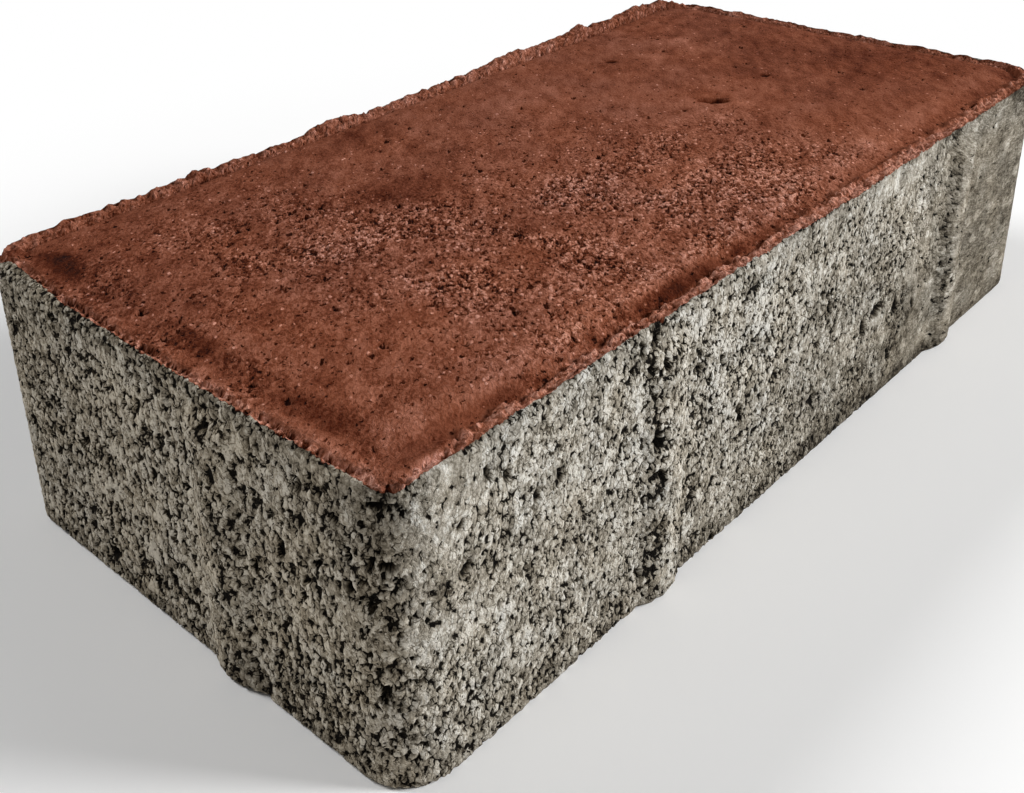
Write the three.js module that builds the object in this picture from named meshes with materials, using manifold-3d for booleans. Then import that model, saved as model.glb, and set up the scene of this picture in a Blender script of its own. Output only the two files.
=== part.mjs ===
// Rectangular concrete paving stone: one pressed block with rounded corners, a pigmented walking face
// that falls by a shallow chamfer to a gutter inside the raised lip, and spacer nibs on its sides.
// Millimetres, +Z up. The origin is on the underside, at the centre of the footprint.

import * as THREE from 'three';
import { mergeVertices } from 'three/addons/utils/BufferGeometryUtils.js';
import Module from 'manifold-3d';

// --- Driving dimensions ---

// block, without its nibs; the thickness is taken to the crest of the lip
const length = 197;
const width = 97;
const thickness = 50;
const cornerRadius = 8.7;
const bottomArris = 0.8;

// top edge, from the outside in: arris, lip, leaning inner wall, gutter, chamfer up to the walking face
const lipArris = 0.5;
const lipWidth = 2.6;
const lipLean = 0.5;
const gutterWidth = 0.6;
const gutterDrop = 1.3;
const chamferRun = 4.2;
const faceDrop = 0.3;
const faceCornerRadius = 3;

// spacer nibs: shallow round ribs from the underside to just below the top edge
const nibProjection = 1.5;
const nibWidth = 11;
const nibTopGap = 4;
const nibLead = 3;
const nibRoot = 0.5;
const longSideNibs = [-43, 58];
const shortSideNibs = [13];

// fineness of the curves
const cornerSegments = 16;
const nibSegments = 96;
const flatTolerance = 0.01;

// colours and finish
const concreteGrey = new THREE.Color(0x8f8d84);
const pigmentRed = new THREE.Color(0x74402f);
const finish = { roughness: 0.95, metalness: 0 };

// --- Derived sizes ---

const walkingFace = thickness - faceDrop;
const gutterFloor = thickness - gutterDrop;
const gutterInset = lipWidth + lipLean;
const chamferInset = gutterInset + gutterWidth;
const faceInset = chamferInset + chamferRun;

// --- Block ---

// The edge's cross-section from the underside to the walking face: [distance in from the side, height].
const edgeProfile = [
  [bottomArris, 0],
  [0, bottomArris],
  [0, thickness - lipArris],
  [lipArris, thickness],
  [lipWidth, thickness],
  [gutterInset, gutterFloor],
  [chamferInset, gutterFloor],
  [faceInset, walkingFace],
];

// The footprint drawn in by inset. Its corners tighten evenly from the side to the walking face.
function footprintRing(inset, height) {
  const x = length / 2 - inset;
  const y = width / 2 - inset;
  const radius = THREE.MathUtils.lerp(cornerRadius, faceCornerRadius, inset / faceInset);
  const outline = new THREE.Shape();
  outline.absarc(x - radius, y - radius, radius, 0, Math.PI / 2);
  outline.absarc(radius - x, y - radius, radius, Math.PI / 2, Math.PI);
  outline.absarc(radius - x, radius - y, radius, Math.PI, 1.5 * Math.PI);
  outline.absarc(x - radius, radius - y, radius, 1.5 * Math.PI, 2 * Math.PI);
  const ring = outline.curves
    .filter((curve) => curve.isEllipseCurve)
    .flatMap((corner) => corner.getPoints(cornerSegments));
  return ring.map((point) => new THREE.Vector3(point.x, point.y, height));
}

// A closed surface through the rings, with a flat end on the first and on the last.
function sweepAroundFootprint(profile) {
  const rings = profile.map(([inset, height]) => footprintRing(inset, height));
  const count = rings[0].length;
  const top = (rings.length - 1) * count;
  const flatEnd = THREE.ShapeUtils.triangulateShape(rings[0], []);
  const triangles = [];
  for (let band = 0; band < rings.length - 1; band++) {
    for (let i = 0; i < count; i++) {
      const low = band * count + i;
      const lowNext = band * count + ((i + 1) % count);
      triangles.push(low, lowNext, lowNext + count);
      triangles.push(low, lowNext + count, low + count);
    }
  }
  for (const [a, b, c] of flatEnd) {
    triangles.push(a, c, b);
    triangles.push(top + a, top + b, top + c);
  }
  return new THREE.BufferGeometry().setFromPoints(rings.flat()).setIndex(triangles);
}

// --- Spacer nibs ---

// A nib is the outer slice of a turned post whose axis stands inside the block. The lead-in at its top
// meets the side at nibTop and runs on by nibRoot inside the block.
const nibRadius = (nibWidth ** 2 / 4 + nibProjection ** 2) / (2 * nibProjection);
const nibDepth = nibRadius - nibProjection;
const nibTop = thickness - nibTopGap;
const rootHeight = nibTop + (nibRoot * nibLead) / nibProjection;

function nibPost(x, y) {
  const profile = [
    [0, 0],
    [nibRadius - bottomArris, 0],
    [nibRadius, bottomArris],
    [nibRadius, nibTop - nibLead],
    [nibDepth - nibRoot, rootHeight],
    [0, rootHeight],
  ];
  const outline = profile.map(([radius, height]) => new THREE.Vector2(radius, height));
  const post = new THREE.LatheGeometry(outline, nibSegments);
  post.rotateX(Math.PI / 2);
  post.translate(x, y, 0);
  return post;
}

// The two halves of the stone match by a half turn, so nibs of neighbouring stones never meet.
function nibPosts() {
  const posts = [];
  for (const halfTurn of [1, -1]) {
    for (const along of longSideNibs) {
      posts.push(nibPost(halfTurn * along, -halfTurn * (width / 2 - nibDepth)));
    }
    for (const along of shortSideNibs) {
      posts.push(nibPost(halfTurn * (length / 2 - nibDepth), halfTurn * along));
    }
  }
  return posts;
}

// --- Joining ---

const wasm = await Module();
wasm.setup();

function toSolid(geometry) {
  const bare = geometry.clone();
  bare.deleteAttribute('normal');
  bare.deleteAttribute('uv');
  const merged = mergeVertices(bare, 1e-4);
  return new wasm.Manifold(new wasm.Mesh({
    numProp: 3,
    vertProperties: new Float32Array(merged.attributes.position.array),
    triVerts: new Uint32Array(merged.index.array),
  }));
}

function toGeometry(solid) {
  const { vertProperties, triVerts } = solid.getMesh();
  const joined = new THREE.BufferGeometry();
  joined.setAttribute('position', new THREE.BufferAttribute(new Float32Array(vertProperties), 3));
  joined.setIndex(new THREE.BufferAttribute(new Uint32Array(triVerts), 1));
  const faceted = joined.toNonIndexed();
  faceted.computeVertexNormals();
  return faceted;
}

// The pigment is in every facet that looks up from the gutter's level or above it, and in no other.
function colourFacets(geometry) {
  const { position, normal } = geometry.attributes;
  const colours = [];
  for (let i = 0; i < position.count; i += 3) {
    const lowest = Math.min(position.getZ(i), position.getZ(i + 1), position.getZ(i + 2));
    const pigmented = normal.getZ(i) > flatTolerance && lowest > gutterFloor - flatTolerance;
    const colour = pigmented ? pigmentRed : concreteGrey;
    for (let corner = 0; corner < 3; corner++) {
      colours.push(colour.r, colour.g, colour.b);
    }
  }
  geometry.setAttribute('color', new THREE.Float32BufferAttribute(colours, 3));
  return geometry;
}

function buildStone() {
  let stone = toSolid(sweepAroundFootprint(edgeProfile));
  for (const post of nibPosts()) {
    stone = stone.add(toSolid(post));
  }
  const material = new THREE.MeshStandardMaterial({ color: 0xffffff, vertexColors: true, ...finish });
  const mesh = new THREE.Mesh(colourFacets(toGeometry(stone)), material);
  mesh.name = 'paving_stone';
  return mesh;
}

const part = new THREE.Group();
part.add(buildStone());

export default part;
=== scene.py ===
"""A pressed concrete paving stone with a pigmented walking face, on a pale studio floor.

The stone is one closed mesh. Its form (rounded corners, nibs, ragged lip, gutter and chamfer) is worked out
on a dense grid. concrete() and pigment() describe its grains, gaps and pits with texture nodes, which are
added twice: to geometry nodes that shape the mesh and to the material that colours and bumps it, so every
pit that is modelled is also shaded.
"""

import math

import bpy
import numpy as np
from mathutils import Matrix, Vector
from mathutils.geometry import delaunay_2d_cdt


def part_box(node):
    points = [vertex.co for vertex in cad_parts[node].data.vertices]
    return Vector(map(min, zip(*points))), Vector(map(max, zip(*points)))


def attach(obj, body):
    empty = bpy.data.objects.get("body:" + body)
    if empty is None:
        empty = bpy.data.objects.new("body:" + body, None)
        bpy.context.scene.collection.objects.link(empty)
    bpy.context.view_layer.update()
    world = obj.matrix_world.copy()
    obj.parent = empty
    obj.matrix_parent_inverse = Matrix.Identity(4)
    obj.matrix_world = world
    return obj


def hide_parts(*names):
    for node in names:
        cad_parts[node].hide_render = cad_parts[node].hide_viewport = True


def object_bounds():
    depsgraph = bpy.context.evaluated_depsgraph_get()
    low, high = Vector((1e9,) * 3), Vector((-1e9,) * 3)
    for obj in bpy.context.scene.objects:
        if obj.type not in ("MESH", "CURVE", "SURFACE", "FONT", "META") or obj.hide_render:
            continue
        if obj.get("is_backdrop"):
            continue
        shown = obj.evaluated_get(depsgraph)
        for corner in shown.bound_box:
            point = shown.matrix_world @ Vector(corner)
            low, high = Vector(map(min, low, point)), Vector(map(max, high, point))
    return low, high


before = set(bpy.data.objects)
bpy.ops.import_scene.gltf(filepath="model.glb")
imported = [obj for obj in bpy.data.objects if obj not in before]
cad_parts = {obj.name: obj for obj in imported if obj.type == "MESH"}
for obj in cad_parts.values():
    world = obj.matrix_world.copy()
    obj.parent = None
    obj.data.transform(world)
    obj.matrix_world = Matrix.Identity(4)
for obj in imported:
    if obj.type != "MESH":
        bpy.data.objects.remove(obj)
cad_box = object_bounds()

NODE = "paving_stone"
VISUAL = NODE + "_visual"
MM = 0.001

# --- Camera: the photo's size in pixels, and the view fitted to the stone's edges ---

IMAGE_WIDTH, IMAGE_HEIGHT = 1024, 793
AXIS_X, AXIS_Y = 450, 210  # pixel that the lens axis passes through
FOCAL_LENGTH = 1243.8  # in pixels
AZIMUTH, ELEVATION, ROLL = -45.54, 24.47, -2.14  # degrees
DISTANCE = 0.24517  # metres, like the lengths below it
SLIDE_RIGHT, SLIDE_UP = -0.02656, 0.01094
AIM = Vector((0, 0, 0.025))
CLIP_START, CLIP_END = 0.01, 50.0
SENSOR = 36.0  # mm

# --- Light and floor, in metres ---

WORLD_STRENGTH = 0.12
LAMP_DISTANCE = 2.0
LAMP_SIZE = 0.7
# Each lamp's direction from the stone, and its level: 1 makes a white card that faces it white.
LAMPS = {"key": ((0.58, -0.69, 0.42), 1.33), "fill": ((-0.35, 0.61, 0.71), 0.53)}
FLOOR_COLOUR = (0.95, 0.95, 0.95, 1)
FLOOR_SIZE = 12.0
FLOOR_FADE = (0.115, 0.23)  # between these distances from the middle the floor turns plain white

# --- Form of the stone, in millimetres ---

low, high = (np.array(corner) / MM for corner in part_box(NODE))
NIB_PROUD = 1.5
HALF_LENGTH = high[0] - NIB_PROUD
HALF_WIDTH = high[1] - NIB_PROUD
CREST = high[2]

CORNER_RADIUS = 8.7
FACE_CORNER_RADIUS = 3.0
SHARPENED_RADIUS = 11.5  # of the contours that blend the lip's corners into the face's
BOTTOM_ARRIS = 0.8
LIP_ARRIS = 0.5
LIP_WIDTH = 2.6
LIP_LEAN = 0.5
GUTTER_DEPTH = 1.3
FACE_DROP = 0.3
CHAMFER_START = 3.7
FACE_INSET = 7.9
SIDE_TOP = CREST - LIP_ARRIS

NIB_WIDTH = 11.0
NIB_TOP = CREST - 4.0
NIB_LEAD = 3.0
NIB_RADIUS = (NIB_WIDTH ** 2 / 4 + NIB_PROUD ** 2) / (2 * NIB_PROUD)
LONG_SIDE_NIBS = (-43, 58)  # along X on the -Y side; half a turn puts them on the other
SHORT_SIDE_NIBS = (13,)  # along Y on the +X side

# --- What pressing and handling did to it, in millimetres ---

CREST_LOSS = 0.3  # how far the middle of the ragged lip lies below the crest
WALL_RUN = 0.8  # how far the lip's inner wall runs while it falls
SOFT_SPREAD, SOFT_RUN = 4.2, 4.6  # what the soft lip on -X gains in width, and its wall in run
# The lips on +X and +Y: what they lose in width, their gutters in depth, and the line's depth at their foot.
HIDDEN_NARROW, HIDDEN_SHALLOW, HIDDEN_GROOVE = 0.35, 0.55, 0.45
EDGE_RADIUS, EDGE_FALL = 0.6, 0.8  # outer edge of the lip, and what each mm of bare shoulder adds to its fall

# Lumps squeezed up on the lip of the +Y side: place along X, half length and height above the crest.
BURRS = ((-21.5, 7.0, 1.25), (-54.5, 2.8, 0.9), (-47.0, 2.5, 0.3), (-85.0, 8.0, 0.2), (33.0, 5.0, 0.5),
         (58.0, 3.0, 0.9), (81.0, 5.0, 0.5))
# How far the rest of that lip rises: place along X, height.
NORTH_CREST = ((-96, 0.35), (-60, 0.35), (-38, 0.1), (-12, 0.1), (2, 0.55), (16, 0.6), (28, 1.35), (96, 1.35))

# Width of the bare shoulder between edge and pigment: -Y side, hidden sides, -X side (place along Y, width).
BARE_SOUTH = 0.85
BARE_HIDDEN = 0.25
BARE_WEST = ((2, 0.75), (10, 1.0), (24, 1.15), (30, 1.9), (38, 2.8))
CORNER_DROP = 1.05  # how far the pigment runs down the upright corners

# Torn bands beside LONG_SIDE_NIBS: how far before the nib's middle, reach to each side, strength.
WIDE_CREASE = 1.9
CREASES = ((3.0, WIDE_CREASE, 1.0), (3.2, 1.2, 0.35))
SHORT_CREASE = (0.7, 1.2, 0.35)  # the same beside SHORT_SIDE_NIBS, but past the nib's middle

# Gutter inside the -Y lip, darkened as stain and painted shade: place along X, change of lightness.
GUTTER_STAIN_AND_SHADE = (
    (-95, 0.06), (-84, 0.15), (-58, 0.1), (-49, 0.06), (-43, 0.25), (-35, 0.3), (-30, 0.55), (-24, 0.52),
    (-21, 0.2), (-17, 0.32), (-12, 0.3), (-6, 0.12), (28, 0.1), (48, 0.03), (70, 0),
)

# Voids: centre, two half axes and depth. The tables of one side leave out the axis that points out of it.
VOIDS = (
    ((37.6, -3.7, 49.8), (1.5, -1.4, 0), (0.8, 0.8, 0), 1.3),
    ((45.8, 28.3, 49.8), (0.8, -0.7, 0), (0.35, 0.35, 0), 0.6),
    ((58, -3.7, 49.8), (0.5, -0.5, 0), (0.3, 0.3, 0), 0.5),
    ((-44, -46.9, 49.6), (0.6, 0, 0), (0.1, 0.9, 0), 1),
    ((-50.2, -46.6, 49.6), (0.5, 0, 0), (0.1, 0.8, 0), 0.9),
    ((-49.3, -49, 47), (0.45, 0, 0.1), (-0.2, 0, 1.3), 0.9),
    ((-46, -50, 30.7), (0.5, 0, 0.1), (-0.1, 0, 1.3), 1),
    ((-44.9, -50, 24), (0.4, 0, 0.1), (0.1, 0, 0.9), 0.8),
    ((-96.5, -45.4, 37.2), (0.5, -0.7, 0), (0, 0, 0.5), 0.9),
    ((-97.6, -43.5, 37.2), (0.1, -0.4, 0), (0, 0, 0.7), 0.9),
    ((-98.1, -42.3, 34.2), (0.1, -0.4, 0), (0, 0, 0.4), 0.7),
    ((-96.8, -45, 46.3), (0.9, -0.9, 0), (0, 0, 0.3), 0.5),
)
LONG_SIDE_VOIDS = (
    (-46.3, 47.6, 0.4, 0.1, -0.1, 0.8, 0.7), (-34.8, 37.1, 0.8, 0.3, -0.2, 0.7, 0.8),
    (-18.8, 33.8, 0.4, 0.1, -0.1, 1.1, 0.8), (-21.7, 22.7, 0.45, 0.1, -0.1, 1.3, 0.9),
    (-11, 24.6, 0.5, 0.2, -0.2, 0.7, 0.7), (26.2, 21.1, 1.6, 0.3, -0.2, 0.85, 0.9),
    (20.9, 19.6, 0.55, 0.2, -0.1, 1.6, 0.9), (6.7, 30.2, 0.45, 0.1, -0.1, 1.5, 0.8),
    (4, 24.1, 0.9, 0.3, -0.2, 0.5, 0.8), (3.9, 33.6, 0.4, 0.1, -0.1, 0.7, 0.6),
    (27.1, 25.8, 0.35, 0.1, -0.1, 0.8, 0.6), (34.4, 18.6, 0.45, 0.1, -0.1, 1, 0.7),
    (42.4, 16.2, 0.35, 0.1, -0.1, 0.8, 0.6), (33.5, 8.1, 0.35, 0.1, -0.1, 1.1, 0.7),
    (3.3, 13, 1.2, 0.2, -0.1, 0.6, 0.9), (-27.8, 35.5, 0.45, 0.2, -0.1, 0.8, 0.8),
    (-78.1, 42, 0.45, 0.1, 0.1, 0.7, 0.6), (-87, 39.2, 0.45, -0.1, 0.1, 0.7, 0.5),
    (-67.5, 36.1, 0.35, 0.1, 0.1, 1, 0.7), (-81.7, 44.2, 0.4, 0.1, 0.1, 0.9, 0.8),
    (-72.3, 35.6, 0.4, 0, 0.1, 0.9, 0.7), (-86, 32.1, 0.7, -0.3, 0.2, 0.7, 0.8),
)
SHORT_SIDE_VOIDS = (
    (-35.8, 44.6, 0.35, 0, 0, 0.6, 0.6), (-27, 31.2, 0.45, 0.1, -0.3, 1, 0.8),
    (-20.4, 25, 0.4, 0, 0.1, 0.7, 0.7), (-31.7, 28.9, 0.45, 0.1, 0.1, 0.6, 0.7),
    (-40.2, 32.5, 0.5, 0.1, -0.3, 0.7, 0.7), (-22.4, 45.8, 0.35, 0, 0.1, 0.8, 0.7),
    (-24, 46, 0.3, 0, 0, 0.8, 0.6), (18.4, 5.7, 0.8, 0.1, -0.2, 0.7, 0.9), (8, 9, 0.5, 0, 0, 0.5, 0.7),
    (0.4, 34.7, 0.4, 0, 0, 0.5, 0.6), (22.9, 23.6, 0.3, 0, 0.1, 1.2, 0.7),
    (10.2, 21.2, 0.45, 0, 0, 0.45, 0.6), (-6.7, 30.8, 0.4, 0, 0, 0.45, 0.6),
    (-32, 43.9, 0.4, 0.1, -0.3, 0.8, 0.8), (-38.2, 42, 0.45, 0, 0, 0.7, 0.8),
    (6.3, 7.2, 0.6, 0.2, -0.2, 0.7, 0.9), (1.2, 10.1, 0.6, 0, 0.1, 0.7, 0.9),
    (2.4, 28.7, 0.4, 0, 0.1, 0.7, 0.7),
)

# Patches: centre, reach and change of lightness in hundredths, in tables like the voids. A dark patch of
# the top is less worn; one of a side is looser, but for those at the far end of the long side.
PATCHES = (
    ((-45.6, -50, 31.5), (1.4, 4, 5), -9), ((-45.2, -50, 14), (1.3, 4, 7), -6),
    ((-45.4, -50, 21), (1.1, 4, 6), -8), ((-46.4, -50, 40), (1.2, 4, 6), -8),
    ((54.8, -50, 17), (1.2, 4, 8), -6), ((54.6, -50, 38), (1.2, 4, 8), -6),
    ((-98, -45, 20), (4, 3.5, 8), -7), ((-44.5, -50, 3.5), (3, 4, 5), 15), ((60, -50, 14), (4, 4, 4.5), 13),
)
TOP_PATCHES = (
    (-90.5, 31, 3.2, 9, -20), (-91.5, -4, 2.8, 6, -15), (-90.8, -26, 3.2, 13, -12), (-58, 5, 8, 6, 10),
    (-45, -12, 4, 5, 10), (-16, -8, 9, 9, 7), (-12, -21, 9, 7, 8), (-44, -32, 7, 5, 12),
    (-31, -27, 5, 5, 8), (6, -29, 12, 9, 13), (35, -8, 10, 5, 8), (4, 31, 6, 3, 7), (70, 26, 4, 3, 7),
    (-63, -12, 9, 4, 5), (-73, 28, 9, 6, 6), (-35, 33, 6, 4, 6), (60, 29, 13, 16, 10), (50, -2, 7, 13, 8),
    (-58, -14, 6, 5, 9), (-36, 13, 10, 8, -16), (-32, -12, 4.5, 8, -13), (-41, -21, 4, 5, -8),
    (-22, 39, 13, 6, -14), (-60, 33, 7, 3.5, -6), (-22, 17, 10, 8, -11), (-68, -20, 6, 5, -15),
    (-62, -4, 4, 3, -6), (-19, -34, 7, 4, -11), (8, 1, 3.2, 8, -9), (-1, -3, 3, 5, -6), (15, 13, 3, 5, -5),
    (32, -20, 7, 5, -12), (38, -30, 6, 4, -7), (58, -19, 6, 4, -8), (57, -3, 3, 3, -6), (52, -29, 4, 3, -5),
    (45, 28, 3, 3, -8), (71, 5, 4, 7, -8), (79, 15, 3.5, 6, -7), (80, -14, 14, 17, -9),
    # (-90, -46.5) and (-97.2, -42) on the next line are painted highlights on the lip at the near corner.
    (92, -42, 4, 4, -12), (-90, -46.5, 1.9, 1.4, 30), (-97.2, -42, 1.5, 2.4, 22), (-87.4, -23, 3, 3, -9),
    (-76, -36, 4, 3, -9), (-82, -42.5, 4, 2, -10), (-92, -35, 2.5, 4, -10), (50, 20, 7, 7, 7),
    (66, 23, 8, 8, 5), (75, 41, 9, 5, 9), (39, -24, 4, 4, -8), (33, -12, 10, 4, 7), (14, -9, 5, 5, 6),
    (-34, -37, 4, 4, 7), (-70, 40, 6, 4, -8), (-58, -15, 5, 5, 6), (-22, 42, 9, 4, -10), (0, 36, 8, 5, -7),
    (-10, 16, 6, 7, -6), (-58, -22, 5, 4, 7), (39, -23, 4, 4, -4), (50, 13, 5, 5, 5), (44, -8, 8, 5, 4),
    (63, 27, 6, 6, 5),
)
LONG_SIDE_PATCHES = (
    (37, 12, 6, 9, -12), (20, 8, 12, 5, -5), (3, 13, 3.5, 3.5, -12), (-10.5, 22, 3, 4, -10),
    (-21, 23, 3, 3.5, -9), (-46, 48, 1.8, 3, -16), (53.3, 47, 1.8, 4, -14), (35, 37, 14, 12, -8),
    (-16, 39.5, 7, 4, 13), (-51, 39, 4, 5, 8), (-52, 26, 3.5, 4, 9), (-32, 3, 6, 3, -12), (6, 31, 7, 9, -7),
    (37, 28, 4, 4.5, -9), (-36, 14, 3.5, 4.5, -14), (-90, 39, 5, 4, 11), (-77, 43, 6, 5, 8),
    (-93, 26, 4, 4, 12), (-20, 45, 4, 3, -19), (-60, 4, 14, 4.5, -10), (-65, 12, 3.5, 3.5, -9),
    (-62, 24, 3.5, 3, -6), (-90, 30, 3, 3, -6), (-85, 25.5, 4, 4, 7), (-73, 10, 5, 7, 9),
    (-28, 34, 4, 6, 8), (32, 45.5, 6, 3.5, 8), (46, 28, 2.5, 4, 8), (47, 4, 7, 2.2, 22),
    (78, 26, 18, 26, -5), (26, 19, 2.6, 2, 20), (-42.3, 12, 0.8, 8, 10), (36, 20, 4, 4, -8),
    (11, 6, 12, 4, -3), (86, 46, 7, 5, -36), (78, 40, 4, 5, -14), (-52, 45, 4, 3.5, -14),
    (-52, 33.5, 3.5, 2.5, -8), (-4, 34, 4, 3.5, 10), (4, 3, 5, 3, -12), (-84, 8, 4, 4, -9),
    (68, 9, 4, 4, -11), (48, 46, 6, 4, -10), (-68, 21, 4, 3, 9), (-52, 21, 3, 3, 8), (-36, 15, 4, 3, -5),
)
SHORT_SIDE_PATCHES = (
    (8, 13, 3, 4, 9), (18, 18, 6, 5, 14), (-36, 8, 7, 7, -9), (-8.7, 24, 2.6, 26, 9),
    (-13.9, 5, 2.2, 7, -11), (-13.9, 45.5, 2, 4, -10), (-13.9, 25, 1.6, 14, -2), (3.3, 21, 2.4, 3.2, 28),
    (5.5, 13, 2.4, 3, 24), (-19, 45, 2.4, 3, 9), (-27, 41, 2.6, 2.5, 8), (-41, 29, 2.4, 2, 18),
    (7.5, 44, 3, 3.5, 8), (32, 23.5, 3.5, 4.5, -10), (18.6, 5, 2.4, 2.4, -14), (-31.7, 31, 3.2, 2.6, -9),
    (-28, 6.5, 6, 4, -9), (22, 45, 7, 4, -11), (16, 33, 4, 3, -9), (1, 27, 4, 4, 10), (8, 11, 4, 4, 10),
    (4, 3, 7, 3.5, 10), (0, 18, 4, 5, 8), (-24, 15, 3, 3, -10), (-16, 33, 3, 3.5, 9), (-34, 44, 6, 3.5, -7),
)
# The tables of one side or face: the axis left out, and what stands there in each vector.
SIDE_VOIDS = ((1, (-48.5, 0, 0), LONG_SIDE_VOIDS), (0, (-98.5, 0, 0), SHORT_SIDE_VOIDS))
FACE_PATCHES = (
    (2, (50, 3), TOP_PATCHES), (1, (-49, 4), LONG_SIDE_PATCHES), (0, (-99, 4), SHORT_SIDE_PATCHES),
)

VOID_EDGE = (1.6, 1)  # in half axes: where a void starts to sink and where it has its full depth
VOID_REACH = 6.0  # mm, farther than any void reaches
# Painted shade: the lightness that a void loses stands in for the shade in its depth.
TOP_VOID_SHADE, SIDE_VOID_SHADE = 0.5, 0.85  # what a void takes off the lightness
PATCH_EDGE = (1.25, 0.25)  # in reaches: where a patch starts and where it has its full change
PATCH_LIMIT = 1.7  # in reaches along each axis: nothing farther away changes
PATCH_SHARE = 0.75  # how much of a patch's change the sides take

# --- Fineness of the mesh ---

STEP = 0.36  # mm between points
BOTTOM_STEP = 1.6
MOST_TRIANGLES = 194_000
COARSE_BUMP = 0.7  # share of the modelled relief that the material's bump repeats

# --- Slow fields, worked out for every point of the mesh ---

def ease(start, end, value):
    """0 at start, 1 at end and a smooth change between them; start may be the larger."""
    t = np.clip((value - start) / (end - start), 0, 1)
    return t * t * (3 - 2 * t)


def window(value, start, full, fade, end):
    """Rises from 0 to 1 between start and full, and falls back to 0 between fade and end."""
    return ease(start, full, value) * ease(end, fade, value)


def total(*terms):
    """Sum of fields, each given with its factor."""
    return sum(field * factor for field, factor in terms)


def lattice_noise(points, size, seed):
    """Smooth noise from -1 to 1 with features of about size, at points of any dimension."""
    cells = points / size + 1000.0
    base = np.floor(cells).astype(np.int64)
    part = cells - base
    part = part * part * (3 - 2 * part)
    result = np.zeros(len(points))
    for corner in np.ndindex(*(2,) * points.shape[1]):
        share = np.ones(len(points))
        key = np.full(len(points), seed * 7919 + 17, np.int64)
        for axis, side in enumerate(corner):
            share *= part[:, axis] if side else 1 - part[:, axis]
            key = (key * 1103515245 + (base[:, axis] + side) * 12345 + 6364136) & 0x7FFFFFFF
            key ^= key >> 13
            key = (key * 69069 + 362437) & 0x7FFFFFFF
        result += share * ((key >> 8 & 0xFFFF) / 32767.5 - 1)
    return result


def noises(points, *layers):
    """Sum of lattice noises, each given as (strength, size, seed)."""
    return sum(strength * lattice_noise(points, size, seed) for strength, size, seed in layers)


def layered(points, size, seed, layers=2):
    """lattice_noise with finer layers added, each half the size and half the strength."""
    return sum(lattice_noise(points, size / 2 ** i, seed + 50 * i) / 2 ** i for i in range(layers))


# --- The form: outline, profile and nibs ---

def outline_ring(inset, counts):
    """The footprint drawn in by inset: points and outward normals, anticlockwise from the +X side."""
    radius = CORNER_RADIUS + (FACE_CORNER_RADIUS - CORNER_RADIUS) * inset / FACE_INSET
    x = HALF_LENGTH - inset - radius
    y = HALF_WIDTH - inset - radius
    centres = np.array(((x, y), (-x, y), (-x, -y), (x, -y)))
    points, normals = [], []
    for quarter in range(4):
        turns = quarter + np.linspace(0, 1, counts[2], endpoint=False)
        around = np.stack([np.cos(turns * math.pi / 2), np.sin(turns * math.pi / 2)], 1)
        end = np.array([math.cos((quarter + 1) * math.pi / 2), math.sin((quarter + 1) * math.pi / 2)])
        t = np.linspace(0, 1, counts[quarter % 2], endpoint=False)[:, None]
        first, last = centres[quarter] + radius * end, centres[(quarter + 1) % 4] + radius * end
        points += [centres[quarter] + radius * around, first + (last - first) * t]
        normals += [around, np.broadcast_to(end, (len(t), 2))]
    return np.concatenate(points), np.concatenate(normals)


def rounded_inset(x, y, radius):
    """Distance in from the footprint's side, with contours rounded about corners of this radius."""
    u = HALF_LENGTH - np.abs(x)
    v = HALF_WIDTH - np.abs(y)
    corner = radius - np.hypot(np.maximum(radius - u, 0), np.maximum(radius - v, 0))
    return np.where((u < radius) & (v < radius), corner, np.minimum(u, v))


def top_inset(x, y):
    """Distance in along the top, with corners that turn from the lip's radius to the face's."""
    outer = rounded_inset(x, y, CORNER_RADIUS)
    inner = rounded_inset(x, y, SHARPENED_RADIUS)
    return outer + (inner - outer) * np.clip(outer / FACE_INSET, 0, 1)


def side_shares(x, y):
    """How far each point belongs to the -X, +X, -Y and +Y edge."""
    end = ease(-4, 4, np.abs(x) - HALF_LENGTH + HALF_WIDTH - np.abs(y))
    return end * (x < 0), end * (x >= 0), (1 - end) * (y < 0), (1 - end) * (y >= 0)


def corner_turn(x, y):
    """0 along the straight sides, 1 halfway round an upright corner."""
    u = np.maximum(CORNER_RADIUS - HALF_LENGTH + np.abs(x), 0)
    v = np.maximum(CORNER_RADIUS - HALF_WIDTH + np.abs(y), 0)
    return (2 * u * v / np.maximum(u * u + v * v, 1e-6)) ** 4


def bare_width(x, y):
    """Width of the bare rounded shoulder between the edge and the pigment."""
    west, east, south, north = side_shares(x, y)
    ragged = noises(np.stack([x, y], 1), (0.1, 1.6, 41), (0.1, 0.8, 42))
    width = west * (np.interp(y, *np.transpose(BARE_WEST)) + ragged)
    width += east * (BARE_HIDDEN + 0.75 * ease(14, 2, y) + 1.6 * ragged)
    width += south * (BARE_SOUTH * ease(22, -30, x) + 0.4 * ragged)
    width += north * (BARE_HIDDEN + 1.3 * ragged)
    return np.maximum(width, 0) * (1 - corner_turn(x, y))


def lip_crest(x, y, inset, soft):
    """Height of the lip: crumbly, swollen into burrs on the +Y side and smoother where it is soft."""
    place = np.stack([x, y], 1)
    north = side_shares(x, y)[3]
    crumbs = noises(place, (0.3, 1.5, 3), (0.16, 4.5, 4))
    crest = CREST - CREST_LOSS + crumbs * (1 - 0.55 * soft)
    crest += north * np.interp(x, *np.transpose(NORTH_CREST))
    for along, reach, rise in BURRS:
        swell = np.clip(1 - ((x - along) / reach) ** 2, 0, 1) ** 0.5
        crest += np.where(y > 0, swell * rise * ease(3.0, 1.4, inset), 0)
    return crest


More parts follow.
